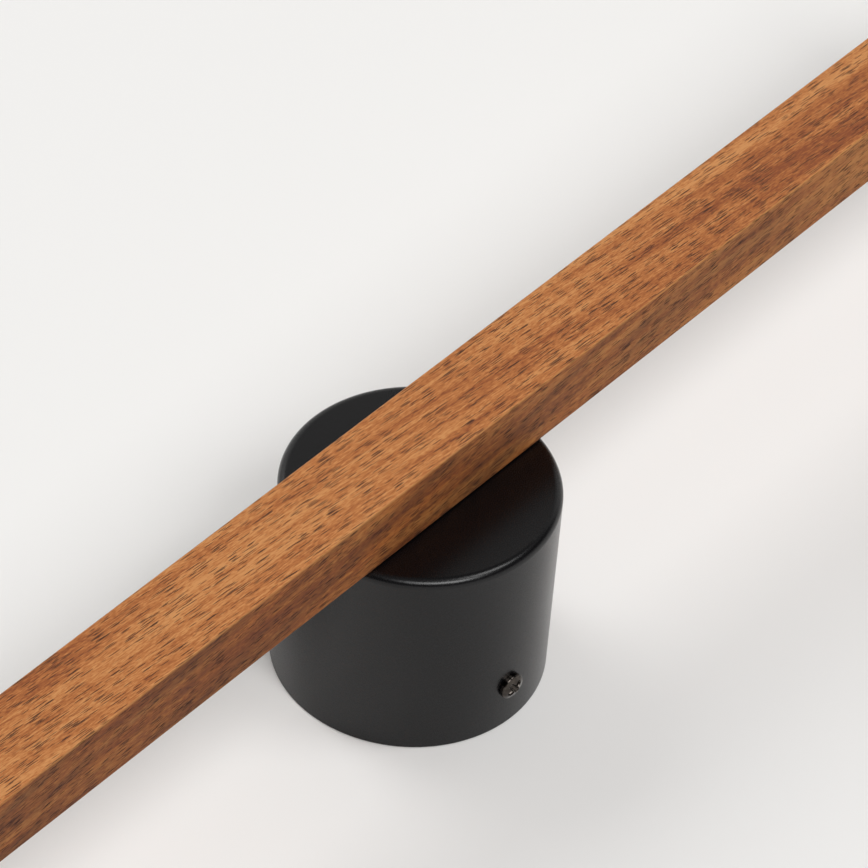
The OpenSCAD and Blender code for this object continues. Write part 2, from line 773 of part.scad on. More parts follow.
// Second nut, locked against the first
module lock_nut() {
    color(zinc) translate([0, 0, lock_base]) rotate([0, 0, 17])
        hex_nut(nut_flats, nut_height, stem_radius + thread_clearance);
}

// Hollow stem, screwed into the anchor plate and carrying the swivel's stack
module stem() {
    keyed_top = thrust_base;
    color(zinc) difference() {
        union() {
            translate([0, 0, keyed_top]) cylinder(r = stem_radius, h = stem_top - keyed_top);
            translate([0, 0, stem_base]) linear_extrude(keyed_top - stem_base)
                stem_outline(stem_radius, stem_flats);
        }
        translate([0, 0, stem_base - cut]) cylinder(d = stem_bore, h = stem_top - stem_base + 2 * cut);
    }
}

// Steel plate let flush into the back of the bar, which takes the stem
module anchor_plate() {
    sink = (anchor_screw_head - anchor_screw_thread) / 2 + fit_clearance;
    color(zinc) difference() {
        translate([0, 0, bar_back]) linear_extrude(anchor_thickness) pill(anchor_length, anchor_width);
        translate([0, 0, bar_back - cut])
            cylinder(r = stem_radius + thread_clearance, h = anchor_thickness + 2 * cut);
        for (s = [-1, 1]) translate([s * anchor_spacing / 2, 0, bar_back]) {
            translate([0, 0, -cut])
                cylinder(d = anchor_screw_thread + 4 * fit_clearance, h = anchor_thickness + 2 * cut);
            cylinder(d1 = anchor_screw_head + 2 * fit_clearance, d2 = anchor_screw_thread, h = sink);
        }
    }
}

// Countersunk wood screws of the anchor plate
module anchor_screws() {
    color(zinc) for (s = [-1, 1]) translate([s * anchor_spacing / 2, 0, bar_back]) mirror([0, 0, 1])
        flat_screw(anchor_screw_thread, anchor_screw_length, anchor_screw_head);
}

// Solid wood bar with eased edges, a stepped slot for the light and a pocket for the stem
module wood_bar() {
    pilot = anchor_screw_thread / 2 + fit_clearance;
    color(wood_brown) difference() {
        translate([0, 0, bar_middle]) intersection() {
            rotate([90, 0, 90]) linear_extrude(bar_length, center = true)
                round_rect([bar_width, bar_depth], bar_edge);
            rotate([90, 0, 0]) linear_extrude(bar_width + cut, center = true)
                round_rect([bar_length, bar_depth], bar_edge);
            linear_extrude(bar_depth + cut, center = true) round_rect([bar_length, bar_width], bar_edge);
        }
        on_light_face(ledge_face) linear_extrude(diffuser_thickness + cut)
            pill(diffuser_length + 2 * fit_clearance, diffuser_width + 2 * fit_clearance);
        on_light_face(sink_face) linear_extrude(slot_floor + cut) pill(inner_length, slot_width_inner);
        translate([0, 0, bar_back - cut]) linear_extrude(anchor_thickness + cut)
            pill(anchor_length + 2 * fit_clearance, anchor_width + 2 * fit_clearance);
        translate([0, 0, bar_back]) cylinder(r = stem_pocket_radius, h = stem_pocket_top - bar_back);
        on_light_face(0) cylinder(d = lead_hole, h = sink_face + cut);
        for (s = [-1, 1]) translate([s * anchor_spacing / 2, 0, anchor_top - cut])
            cylinder(r = pilot, h = anchor_screw_length - anchor_thickness + cut + fit_clearance);
    }
}

// Flat aluminium strip on the floor of the slot, under the LED strips
module heat_sink() {
    color(aluminium) on_light_face(sink_face) linear_extrude(sink_thickness) difference() {
        square([sink_length, sink_width], center = true);
        circle(d = lead_hole);
    }
}

// Two flexible LED strips, one to each side of the lead
module led_strips() {
    length = strip_end - strip_start;
    color("#efe9d8") on_light_face(strip_face) for (s = [-1, 1])
        translate([s * (strip_start + length / 2), 0, 0]) linear_extrude(strip_thickness)
            square([length, strip_width], center = true);
}

// LEDs, in a row along both strips
module led_chips() {
    color("#f2d64a") for (s = [-1, 1], i = [0 : chips_per_side - 1])
        translate([s * (strip_start + led_pitch * (i + 0.5)) - chip_size[0] / 2, chip_face,
            bar_middle - chip_size[2] / 2]) cube(chip_size);
}

// Low-voltage lead from the stem's lower end up to the LED strips
module led_cable() {
    color("#e0dfda") lead(led_route, cable_diameter);
}

// Bare tails of the lead, soldered to the near ends of both strips
module strip_tails() {
    color(brass) for (sx = [-1, 1], sz = [-1, 1]) lead(tail_route(sx, sz), tail_diameter, sides = 6);
}

// Opal cover, set flush into the wood
module diffuser() {
    color(opal) on_light_face(ledge_face) linear_extrude(diffuser_thickness)
        pill(diffuser_length, diffuser_width);
}

canopy();
canopy_screws();
wall_plate();
cable_grommet();
terminal_block();
terminal_inserts();
terminal_screws();
terminal_fixing_screw();
earth_screw();
earth_tag();
earth_lead();
mains_leads();
driver_case();
driver_lid();
driver_board();
driver_components();
driver_screws();
output_cable();
swivel_bush();
stop_pin();
thrust_washer();
stop_washer();
disc_spring();
stem_nut();
lock_nut();
stem();
anchor_plate();
anchor_screws();
wood_bar();
heat_sink();
led_strips();
led_chips();
led_cable();
strip_tails();
diffuser();
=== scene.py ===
# %% [markdown]
# # Dressing a wall light in Blender
# The object is a linear LED wall light: an oiled wood bar that turns on a friction swivel,
# carried by a deep black canopy. Its solids come from CAD and stay exactly where they are.
# This lesson gives them finishes, adds the screws' fine detail, and sets up camera and light.

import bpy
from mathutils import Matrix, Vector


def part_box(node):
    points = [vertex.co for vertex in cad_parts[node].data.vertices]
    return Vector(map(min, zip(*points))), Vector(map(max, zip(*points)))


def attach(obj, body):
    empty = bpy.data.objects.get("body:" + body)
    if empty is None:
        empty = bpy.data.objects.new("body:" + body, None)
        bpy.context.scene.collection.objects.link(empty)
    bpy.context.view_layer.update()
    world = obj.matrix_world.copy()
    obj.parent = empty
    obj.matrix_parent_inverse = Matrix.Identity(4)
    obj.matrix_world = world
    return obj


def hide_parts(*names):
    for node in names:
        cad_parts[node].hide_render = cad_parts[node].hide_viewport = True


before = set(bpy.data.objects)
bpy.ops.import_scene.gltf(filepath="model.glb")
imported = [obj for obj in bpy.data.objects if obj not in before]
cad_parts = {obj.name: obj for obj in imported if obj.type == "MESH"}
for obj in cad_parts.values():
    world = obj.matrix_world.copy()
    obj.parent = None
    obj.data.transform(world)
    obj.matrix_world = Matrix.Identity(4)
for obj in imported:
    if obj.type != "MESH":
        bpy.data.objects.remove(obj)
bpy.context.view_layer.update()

# %% [markdown]
# ## The camera
# The photograph looks down on the light from its left front, through a long lens, so edges that
# run away from the eye stay almost parallel. The place and the three angles were found by
# fitting the bar's straight edges and the canopy's round ones. A matrix built from three
# directions keeps the small roll, which a look-at constraint would lose.

# %% Place the camera
import bpy
import numpy as np
from mathutils import Matrix, Vector

MM = 0.001
PICTURE_SIDE_PX = 868
FOCAL_PX = 4927.0
SENSOR_MM = 36.0
EYE_MM = (-780.0, -597.0, 1024.9)
PITCH, ROLL, YAW = np.radians((43.749, 4.716, 52.718))

ahead = np.array((np.sin(YAW) * np.cos(PITCH), np.cos(YAW) * np.cos(PITCH), -np.sin(PITCH)))
level = np.array((np.cos(YAW), -np.sin(YAW), 0.0))
upward = np.cross(level, ahead)
right = np.cos(ROLL) * level + np.sin(ROLL) * upward
top = np.cos(ROLL) * upward - np.sin(ROLL) * level

placing = np.eye(4)
placing[:3, :3] = np.column_stack((right, top, -ahead))
placing[:3, 3] = np.array(EYE_MM) * MM
lens = bpy.data.cameras.new("long_lens")
lens.sensor_width = SENSOR_MM
lens.lens = FOCAL_PX * SENSOR_MM / PICTURE_SIDE_PX
camera = bpy.data.objects.new("camera", lens)
camera.matrix_world = Matrix(placing.tolist())
bpy.context.scene.collection.objects.link(camera)
bpy.context.scene.camera = camera
bpy.context.scene.view_settings.view_transform = "Standard"
print("lens in mm:", round(lens.lens, 1))

# %% [markdown]
# ## Colours and nodes
# Colours are written as sRGB hex values, the way a colour picker shows them. Shaders calculate
# in linear light, so one function converts them. A second function adds a node, sets its
# fields and fills its inputs, where an input is either a plain value or another node. Inputs that
# share a name go by number: a Map Range reads the range 1 to 2 and gives the range 3 to 4, and a
# Mix blends the numbers 2 and 3 or the colours 6 and 7.

# %% Two helpers for materials
def linear(hex_colour):
    """sRGB hex to linear RGBA: c / 12.92 below 0.04045, else ((c + 0.055) / 1.055) to the 2.4."""
    srgb = np.array([int(hex_colour[i:i + 2], 16) / 255 for i in (1, 3, 5)])
    return (*np.where(srgb <= 0.04045, srgb / 12.92, ((srgb + 0.055) / 1.055) ** 2.4), 1.0)


def add(tree, kind, inputs=None, **fields):
    """Adds a shader node; a node given as an input is linked from its first output."""
    node = tree.nodes.new("ShaderNode" + kind)
    for field, value in fields.items():
        setattr(node, field, value)
    for name, value in (inputs or {}).items():
        if isinstance(value, bpy.types.Node):
            value = value.outputs[0]
        if isinstance(value, bpy.types.NodeSocket):
            tree.links.new(value, node.inputs[name])
        else:
            node.inputs[name].default_value = value
    return node


print("white is", linear("#ffffff"))

# %% [markdown]
# ## The studio
# The light lies with its wall side on a pale seamless board. A wide softbox hangs on the near
# side of the bar, a smaller one on the far side and one almost overhead, and each throws its own
# faint shadow. Sun lamps with a wide angle give such soft light evenly over the whole board, and
# two of them side by side make the wide softbox. Around it lies a dim room with a pale wall on
# the far side, and a dark satin coat shows exactly that.

# %% Hang the lamps
def hang_lamp(name, direction_deg, from_zenith_deg, spread_deg, strength):
    """A sun lamp: its direction from +X towards +Y, its angle from the zenith and its width."""
    turn, lean = np.radians((direction_deg, from_zenith_deg))
    towards = Vector((np.sin(lean) * np.cos(turn), np.sin(lean) * np.sin(turn), np.cos(lean)))
    lamp = bpy.data.lights.new(name, "SUN")
    lamp.energy = strength
    lamp.angle = np.radians(spread_deg)
    lamp_object = bpy.data.objects.new(name, lamp)
    lamp_object.rotation_mode = "QUATERNION"
    lamp_object.rotation_quaternion = towards.to_track_quat("Z", "Y")
    bpy.context.scene.collection.objects.link(lamp_object)
    print(name, "gives", strength, "W/m2 over", spread_deg, "degrees")


hang_lamp("near_softbox_left", 228, 37, 22, 0.75)
hang_lamp("near_softbox_right", 255, 41, 22, 1.0)
hang_lamp("far_softbox", 91, 45, 27, 0.7)
hang_lamp("high_softbox", 306, 28, 20, 0.64)

# %% [markdown]
# The room is drawn by direction. How far a ray looks towards the far side, and how high it looks,
# decide whether it meets the pale wall, the bright band along the horizon, the ceiling or the dim
# rest, and the brightest of them counts. Soft reflections need no more than such smooth ranges.
# Heights are sines of the angle above the horizon, so the zenith is 1.

# %% Surround the board with a dim room
TO_FAR_SIDE = (0.55, 0.83, 0.0)
ROOM_LEVEL, FAR_WALL_LEVEL = 0.065, 0.85
HORIZON_LEVEL, CEILING_LEVEL = 0.9, 0.24
WALL_EDGE, WALL_FULL = 0.12, 0.45
WALL_TOP, WALL_GONE = 0.55, 0.85
HORIZON_LOW, HORIZON_HIGH = 0.02, 0.28
CEILING_LOW, CEILING_HIGH = 0.74, 0.94
world = bpy.data.worlds.new("dim_room")
bpy.context.scene.world = world
world.use_nodes = True
room = world.node_tree
room.nodes.clear()
looking = add(room, "TexCoord").outputs["Generated"]
height = add(room, "SeparateXYZ", {"Vector": looking}).outputs["Z"]
farness = add(room, "VectorMath", {0: looking, 1: TO_FAR_SIDE}, operation="DOT_PRODUCT").outputs["Value"]
wall_width = add(room, "MapRange", {"Value": farness, 1: WALL_EDGE, 2: WALL_FULL, 3: 0.0, 4: 1.0},
                 interpolation_type="SMOOTHSTEP")
wall_height = add(room, "MapRange", {"Value": height, 1: WALL_TOP, 2: WALL_GONE, 3: 1.0, 4: 0.0},
                  interpolation_type="SMOOTHSTEP")
wall = add(room, "Math", {0: wall_width, 1: wall_height}, operation="MULTIPLY")
far_wall = add(room, "MapRange", {"Value": wall, 1: 0.0, 2: 1.0, 3: ROOM_LEVEL, 4: FAR_WALL_LEVEL})
horizon = add(room, "MapRange", {"Value": height, 1: HORIZON_LOW, 2: HORIZON_HIGH,
                                 3: HORIZON_LEVEL, 4: 0.0}, interpolation_type="SMOOTHSTEP")
ceiling = add(room, "MapRange", {"Value": height, 1: CEILING_LOW, 2: CEILING_HIGH,
                                 3: 0.0, 4: CEILING_LEVEL}, interpolation_type="SMOOTHSTEP")
walls = add(room, "Math", {0: far_wall, 1: horizon}, operation="MAXIMUM")
strength = add(room, "Math", {0: walls, 1: ceiling}, operation="MAXIMUM")
background = add(room, "Background", {"Color": linear("#fbfaf8"), "Strength": strength})
add(room, "OutputWorld", {"Surface": background})
print("the room is pale on its far side, overhead and along the horizon, and dim elsewhere")

# %% [markdown]
# The board is one large square a hair below the light, so that the two never share a plane. Its
# matt paint has faint clouds, because a perfectly even grey looks like no surface at all.

# %% Lay the pale board
FLOOR_HALF_M = 12.0
FLOOR_DROP_M = 0.0002
CLOUDS_PER_M = 3.0
corners = np.array([(-1, -1, 0), (1, -1, 0), (1, 1, 0), (-1, 1, 0)]) * FLOOR_HALF_M
corners[:, 2] = -FLOOR_DROP_M
floor_mesh = bpy.data.meshes.new("pale_board")
floor_mesh.from_pydata(corners.tolist(), [], [(0, 1, 2, 3)])
floor = bpy.data.objects.new("pale_board", floor_mesh)
bpy.context.scene.collection.objects.link(floor)

board_finish = bpy.data.materials.new("matt painted board")
board_finish.use_nodes = True
tree = board_finish.node_tree
place = add(tree, "TexCoord").outputs["Object"]
clouds = add(tree, "TexNoise", {"Vector": place, "Scale": CLOUDS_PER_M, "Detail": 2.0})
tint = add(tree, "ValToRGB", {"Fac": clouds})
tint.color_ramp.elements[0].color = linear("#edecea")
tint.color_ramp.elements[1].color = linear("#efeeed")
paint = tree.nodes["Principled BSDF"]
paint.inputs["Roughness"].default_value = 0.9
paint.inputs["Specular IOR Level"].default_value = 0.2
tree.links.new(tint.outputs["Color"], paint.inputs["Base Color"])
floor_mesh.materials.append(board_finish)
print("board is", 2 * FLOOR_HALF_M, "m square")

# %% [markdown]
# ## Starting a finish
# Every finish begins the same way: a Principled shader with the gloss of the real surface, and
# Object coordinates in millimetres, because all pattern sizes are known in millimetres. A part's
# mesh holds its place, so Object coordinates are the part's own and travel with it. A noise mostly
# stays between 0.3 and 0.7, so these are the ends of the ranges and ramps that read one.

# %% Start a finish
NOISE_LOW, NOISE_HIGH = 0.3, 0.7
finishes = {}


def start_finish(slot, name, roughness, ior=1.5, metallic=0.0):
    """A new material for a slot of the record: returns its tree, its shader and mm coordinates."""
    material = bpy.data.materials.new(name)
    material.use_nodes = True
    finishes[slot] = material
    shader = material.node_tree.nodes["Principled BSDF"]
    shader.inputs["Roughness"].default_value = roughness
    shader.inputs["Metallic"].default_value = metallic
    shader.inputs["IOR"].default_value = ior
    place = add(material.node_tree, "TexCoord").outputs["Object"]
    place_mm = add(material.node_tree, "Mapping", {"Vector": place, "Scale": (1 / MM, 1 / MM, 1 / MM)})
    return material.node_tree, shader, place_mm


def stops(ramp_node, *colours):
    """Spreads hex colours over a colour ramp: pairs of place and colour, from 0 to 1."""
    ramp = ramp_node.color_ramp
    while len(ramp.elements) < len(colours):
        ramp.elements.new(0.5)
    for element, (where, colour) in zip(ramp.elements, colours):
        element.position = where
        element.color = linear(colour)


# %% [markdown]
# ## Oiled wood
# The bar is a reddish, open-pored hardwood, planed, sanded and oiled. The eye sees three things:
# wide bands that drift between gold and red-brown, fine streaks along the fibres, and short dark
# dashes where the saw opened the pores. A solid texture makes all of them, so they run through
# the bar and its ends show end grain. The grain leans a few degrees off the bar's axis, as it
# does in most sawn timber, and a slow noise bends it a little.

# %% Lay the grain
GRAIN_LEAN = np.radians(3.2)
GRAIN_DIVE = np.radians(2.0)
BEND_MM, BEND_LONG_MM, BEND_WIDE_MM = 0.9, 60, 16
wood, oil, place_mm = start_finish("oiled_wood", "oiled open-pored hardwood", 0.5, ior=1.42)
leaning = add(wood, "Mapping", {"Vector": place_mm, "Rotation": (0.0, GRAIN_DIVE, GRAIN_LEAN)})
slow_scale = (1 / BEND_LONG_MM, 1 / BEND_WIDE_MM, 1 / BEND_WIDE_MM)
slow = add(wood, "Mapping", {"Vector": leaning, "Scale": slow_scale})
waves = add(wood, "TexNoise", {"Vector": slow, "Scale": 1.0, "Detail": 2.0})
centred = add(wood, "VectorMath", {0: waves.outputs["Color"], 1: (0.5, 0.5, 0.5)}, operation="SUBTRACT")
bend = add(wood, "VectorMath", {0: centred, 1: (0.0, BEND_MM, BEND_MM)}, operation="MULTIPLY")
grain = add(wood, "VectorMath", {0: leaning, 1: bend}, operation="ADD")
print("grain leans", round(float(np.degrees(GRAIN_LEAN)), 1), "degrees and bends by", BEND_MM / 2, "mm")

# %% [markdown]
# Some things depend on how deep a point lies under the bar's faces. The sides are painted darker
# and mottled, which is painted shade on the side faces. The long edges were eased with a stroke of
# sandpaper, which cuts fresh, pale fibres, and their pale band is partly a painted highlight too.

# %% Depth under the bar's faces
SKIN_IN_MM, SKIN_OUT_MM = 0.4, 0.1
bar_low, bar_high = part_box("wood_bar")
bar_middle = (bar_low + bar_high) / 2 / MM
bar_half = (bar_high - bar_low) / 2 / MM
offset = add(wood, "VectorMath", {0: place_mm, 1: tuple(bar_middle)}, operation="SUBTRACT")
reach = add(wood, "VectorMath", {0: offset}, operation="ABSOLUTE")
depth = add(wood, "VectorMath", {0: tuple(bar_half), 1: reach}, operation="SUBTRACT")
depths = add(wood, "SeparateXYZ", {"Vector": depth})
side_depth = depths.outputs["Y"]
# The sides' painted shade, their paler drift and their roughness all follow this mask.
shaded_side_skin = add(wood, "MapRange", {"Value": side_depth, 1: SKIN_IN_MM, 2: SKIN_OUT_MM, 3: 0.0, 4: 1.0})
print("bar is", [round(2 * v, 1) for v in bar_half], "mm")

# %% [markdown]
# Noise that is stretched along the grain makes spots as long and as slim as fibres are. Three
# sizes of it are mixed into one tone, which a colour ramp then turns into the colours of wood.

# %% Bands, streaks and fibres
def along_grain(length_mm, width_mm, detail, roughness=0.5):
    """Noise whose spots are so long along the grain and so wide across it."""
    scale = (1 / length_mm, 1 / width_mm, 1 / width_mm)
    stretched = add(wood, "Mapping", {"Vector": grain, "Scale": scale})
    return add(wood, "TexNoise", {"Vector": stretched, "Scale": 1.0, "Detail": detail,
                                  "Roughness": roughness})


STREAK_SHARE, FIBRE_SHARE = 0.48, 0.34
bands = along_grain(110, 4.0, 2.0)
streaks = along_grain(40, 0.45, 3.0, 0.62)
fibres = along_grain(1.8, 0.3, 2.0)
bands_and_streaks = add(wood, "Mix", {0: STREAK_SHARE, 2: bands, 3: streaks})
even_tone = add(wood, "Mix", {0: FIBRE_SHARE, 2: bands_and_streaks, 3: fibres})
print("bands 4 mm wide, streaks 0.45 mm, fibres 0.3 mm")

# %% [markdown]
# A sawn bar cuts through many growth rings, and their colours differ. On this one the middle of
# the face turns redder towards one end, while its far edge and its sides turn paler. So the tone is
# shifted by an amount that grows along the bar and depends on the place across it.

# %% Redder heart and paler edge
REDDER_PER_MM = 0.00036
HEART_END_MM, EDGE_START_MM = 2.0, 9.0
HEART, FAR_EDGE, SIDES = 1.0, -0.6, -0.8
DRIFT_FROM_MM, DRIFT_TO_MM = -60.0, 200.0
spot = add(wood, "SeparateXYZ", {"Vector": place_mm})
drift = add(wood, "MapRange", {"Value": spot.outputs["X"], 1: DRIFT_FROM_MM, 2: DRIFT_TO_MM,
                               3: DRIFT_FROM_MM, 4: DRIFT_TO_MM})
across = spot.outputs["Y"]
heart = add(wood, "MapRange", {"Value": across, 1: HEART_END_MM, 2: EDGE_START_MM,
                               3: HEART, 4: FAR_EDGE}, interpolation_type="SMOOTHSTEP")
heart_or_side = add(wood, "Mix", {0: shaded_side_skin, 2: heart, 3: SIDES})
reddening = add(wood, "Math", {0: drift, 1: heart_or_side}, operation="MULTIPLY")
tone = add(wood, "Math", {0: reddening, 1: -REDDER_PER_MM, 2: even_tone}, operation="MULTIPLY_ADD")
wood_colour = add(wood, "ValToRGB", {"Fac": tone})
stops(wood_colour, (0.38, "#82421b"), (0.449, "#9f5b29"), (0.514, "#b67139"), (0.594, "#c98b51"))
print("the heart grows redder along the bar, and its far edge and its sides grow paler")

# %% [markdown]
# Pores are tubes that the saw cut open, so they are dark dashes with definite ends, not soft
# streaks. A Voronoi texture scatters points, and its stretched cells turn the distance from a point
# into a slim ellipsoid. More than half of the cells stay empty, and the others crowd in zones.

# %% Open pores
PORE_CORE, PORE_FADE, PORE_DARKNESS = 0.86, 0.1, 0.92


def pores(length_mm, width_mm, reach, share):
    """Dashes: ellipsoids round scattered points, as large as their cells times twice the reach.
    A cell keeps its dash if its own random number, raised in crowded zones, passes the share."""
    scale = (1 / length_mm, 1 / width_mm, 1 / width_mm)
    cells = add(wood, "Mapping", {"Vector": grain, "Scale": scale})
    points = add(wood, "TexVoronoi", {"Vector": cells, "Scale": 1.0})
    dash = add(wood, "MapRange", {"Value": points, 1: reach, 2: reach * PORE_CORE, 3: 0.0, 4: 1.0},
               interpolation_type="SMOOTHSTEP")
    luck = add(wood, "SeparateColor", {"Color": points.outputs["Color"]})
    crowding = add(wood, "Math", {0: luck, 1: crowds}, operation="ADD")
    kept = add(wood, "MapRange", {"Value": crowding, 1: share, 2: share + PORE_FADE, 3: 0.0, 4: 1.0})
    return add(wood, "Math", {0: dash, 1: kept}, operation="MULTIPLY")


crowds = along_grain(32, 3.0, 1.0)
long_pores = pores(13.0, 0.4, 0.36, 1.05)
short_pores = pores(6.5, 0.38, 0.36, 1.07)
pore_mask = add(wood, "Math", {0: long_pores, 1: short_pores}, operation="MAXIMUM")
pore_cover = add(wood, "Math", {0: pore_mask, 1: PORE_DARKNESS}, operation="MULTIPLY")
with_pores = add(wood, "Mix", {0: pore_cover, 6: wood_colour, 7: linear("#3e1f0d")}, data_type="RGBA")
print("pores up to 9 mm long and 0.3 mm wide")

# %% [markdown]
# The sides get painted shade: a mottle that slants a little across the grain multiplies the wood's
# colour darker. The eased edges get a pale band, partly fresh fibres and partly painted highlight,
# with a ragged border, so the streaks shift it to and fro.

# %% Painted shade on the sides, and pale eased edges that are partly painted highlight
MOTTLE_SLANT = np.radians(9.0)
FLECK_LONG_MM, FLECK_HIGH_MM = 45, 5
PALER_PER_MM = 0.0005
EASED_IN_MM, EASED_OUT_MM = 0.95, 0.45
RAGGED_MM = 0.8
EDGE_PALENESS = 0.45
slanted = add(wood, "Mapping", {"Vector": place_mm, "Rotation": (0.0, MOTTLE_SLANT, 0.0)})
fleck_scale = (1 / FLECK_LONG_MM, 1 / FLECK_LONG_MM, 1 / FLECK_HIGH_MM)
flecks = add(wood, "Mapping", {"Vector": slanted, "Scale": fleck_scale})
mottle = add(wood, "TexNoise", {"Vector": flecks, "Scale": 1.0, "Detail": 5.0, "Roughness": 0.65})
# Painted shade: the mottle, a little paler along the bar, picks a grey that darkens the sides.
side_shade_tone = add(wood, "Math", {0: drift, 1: PALER_PER_MM, 2: mottle}, operation="MULTIPLY_ADD")
side_shade_mottle = add(wood, "ValToRGB", {"Fac": side_shade_tone})
stops(side_shade_mottle, (0.34, "#a0988a"), (0.66, "#dad1b8"))
painted_side_shade = add(wood, "Mix", {0: shaded_side_skin, 6: with_pores.outputs[2], 7: side_shade_mottle}, data_type="RGBA",
                 blend_type="MULTIPLY")
from_edge = add(wood, "Math", {0: side_depth, 1: depths.outputs["Z"]}, operation="MAXIMUM")
ragged = add(wood, "Math", {0: streaks, 1: RAGGED_MM, 2: from_edge}, operation="MULTIPLY_ADD")
eased_band_and_highlight = add(wood, "MapRange", {"Value": ragged, 1: EASED_IN_MM, 2: EASED_OUT_MM,
                               3: 0.0, 4: EDGE_PALENESS})
# Partly painted highlight: the pale colour of sanded fibres also stands for the light the eased edge
# catches.
pale_edges_and_highlight = add(wood, "Mix", {0: eased_band_and_highlight, 6: painted_side_shade.outputs[2], 7: linear("#d0965a")}, data_type="RGBA")
wood.links.new(pale_edges_and_highlight.outputs[2], oil.inputs["Base Color"])
print("mottle slants by", round(float(np.degrees(MOTTLE_SLANT))), "degrees")

# %% [markdown]
# Oil shines less where it sank in, so streaks, sides and pores are rougher than the rest. Pores are
# pits as well: a bump lowers them and raises the fibres a little.

# %% Gloss and relief of the wood
PORE_DEPTH_M = 0.00012
WOOD_SMOOTHEST, WOOD_DULLEST = 0.45, 0.57
SIDE_DULLNESS, PORE_DULLNESS = 0.2, 0.2
FIBRE_RELIEF = 0.35
gloss = add(wood, "MapRange", {"Value": streaks, 1: NOISE_LOW, 2: NOISE_HIGH,
                               3: WOOD_SMOOTHEST, 4: WOOD_DULLEST})
dull = add(wood, "Math", {0: shaded_side_skin, 1: SIDE_DULLNESS, 2: gloss}, operation="MULTIPLY_ADD")
rough = add(wood, "Math", {0: pore_mask, 1: PORE_DULLNESS, 2: dull}, operation="MULTIPLY_ADD")
wood.links.new(rough.outputs[0], oil.inputs["Roughness"])
raised = add(wood, "Math", {0: fibres, 1: FIBRE_RELIEF}, operation="MULTIPLY")
relief = add(wood, "Math", {0: raised, 1: pore_mask}, operation="SUBTRACT")
bump = add(wood, "Bump", {"Height": relief, "Distance": PORE_DEPTH_M, "Strength": 0.4})
wood.links.new(bump.outputs["Normal"], oil.inputs["Normal"])
print("pores are", PORE_DEPTH_M / MM, "mm deep")

# %% [markdown]
# ## Black powder coat
# The canopy is drawn steel, sprayed with dry powder and baked. The powder melts into a skin with
# a fine orange-peel: waves about a millimetre long and grit a quarter of that. It is so dark that
# nearly all its tone is reflection, so roughness and relief matter more than colour.

# %% Powder coat
PEEL_MM, GRIT_MM = 0.9, 0.25
PEEL_DEPTH_M = 0.00003
GRIT_SHARE = 0.4
COAT_SMOOTHEST, COAT_DULLEST = 0.25, 0.29
coat, powder, place_mm = start_finish("black_paint", "black powder coat on steel", 0.27, ior=1.42)
peel = add(coat, "TexNoise", {"Vector": place_mm, "Scale": 1 / PEEL_MM, "Detail": 1.0})
grit = add(coat, "TexNoise", {"Vector": place_mm, "Scale": 1 / GRIT_MM, "Detail": 1.0})
surface = add(coat, "Mix", {0: GRIT_SHARE, 2: peel, 3: grit})
dusk = add(coat, "ValToRGB", {"Fac": grit})
stops(dusk, (NOISE_LOW, "#020203"), (NOISE_HIGH, "#060508"))
dull = add(coat, "MapRange", {"Value": grit, 1: NOISE_LOW, 2: NOISE_HIGH,
                              3: COAT_SMOOTHEST, 4: COAT_DULLEST})
bump = add(coat, "Bump", {"Height": surface, "Distance": PEEL_DEPTH_M, "Strength": 0.9})
coat.links.new(dusk.outputs["Color"], powder.inputs["Base Color"])
coat.links.new(dull.outputs[0], powder.inputs["Roughness"])
coat.links.new(bump.outputs["Normal"], powder.inputs["Normal"])
print("orange peel", PEEL_MM, "mm, grit", GRIT_MM, "mm")

# %% [markdown]
# ## Black nickel
# The canopy screws are steel with a thin black nickel plating, which mirrors softly in a warm
# dark grey. Handling leaves brighter rubbed spots, so its colour varies over a millimetre.

# %% Black nickel
RUBBED_MM = 1.2
NICKEL_SMOOTHEST, NICKEL_DULLEST = 0.11, 0.16
plate, nickel, place_mm = start_finish("black_screw", "black nickel on steel", 0.13, metallic=1.0)
rubbed = add(plate, "TexNoise", {"Vector": place_mm, "Scale": 1 / RUBBED_MM, "Detail": 2.0})
shade = add(plate, "ValToRGB", {"Fac": rubbed})
stops(shade, (NOISE_LOW, "#3a3633"), (NOISE_HIGH, "#544e49"))
dull = add(plate, "MapRange", {"Value": rubbed, 1: NOISE_LOW, 2: NOISE_HIGH,
                               3: NICKEL_SMOOTHEST, 4: NICKEL_DULLEST})
plate.links.new(shade.outputs["Color"], nickel.inputs["Base Color"])
plate.links.new(dull.outputs[0], nickel.inputs["Roughness"])
print("rubbed spots", RUBBED_MM, "mm")

# %% [markdown]
# ## Opal acrylic
# The light leaves through a strip of milky acrylic with a satin face. Light that enters it
# scatters inside, which softens its shading, so it gets some subsurface scattering.

# %% Opal acrylic
HAZE_MM, SATIN_MM = 8, 0.3
SATIN_DEPTH_M, SCATTER_M = 0.00001, 0.002
opal, acrylic, place_mm = start_finish("opal", "satin opal acrylic", 0.38, ior=1.49)
haze = add(opal, "TexNoise", {"Vector": place_mm, "Scale": 1 / HAZE_MM, "Detail": 2.0})
milk = add(opal, "ValToRGB", {"Fac": haze})
stops(milk, (NOISE_LOW, "#efede7"), (NOISE_HIGH, "#f4f2ed"))
satin = add(opal, "TexNoise", {"Vector": place_mm, "Scale": 1 / SATIN_MM, "Detail": 1.0})
bump = add(opal, "Bump", {"Height": satin, "Distance": SATIN_DEPTH_M, "Strength": 0.4})
acrylic.inputs["Subsurface Weight"].default_value = 0.4
acrylic.inputs["Subsurface Radius"].default_value = (1.0, 1.0, 1.0)
acrylic.inputs["Subsurface Scale"].default_value = SCATTER_M
opal.links.new(milk.outputs["Color"], acrylic.inputs["Base Color"])
opal.links.new(bump.outputs["Normal"], acrylic.inputs["Normal"])
print("light scatters about", SCATTER_M / MM, "mm deep")

# %% [markdown]
# ## Finishes of the inner pieces
# The pieces inside the canopy and the bar are everyday hardware. Each finish is one entry here:
# two colours that a noise mixes, the size of its spots in millimetres along three axes, the
# range of its roughness, whether it is metal, its IOR, and how deep its relief is.

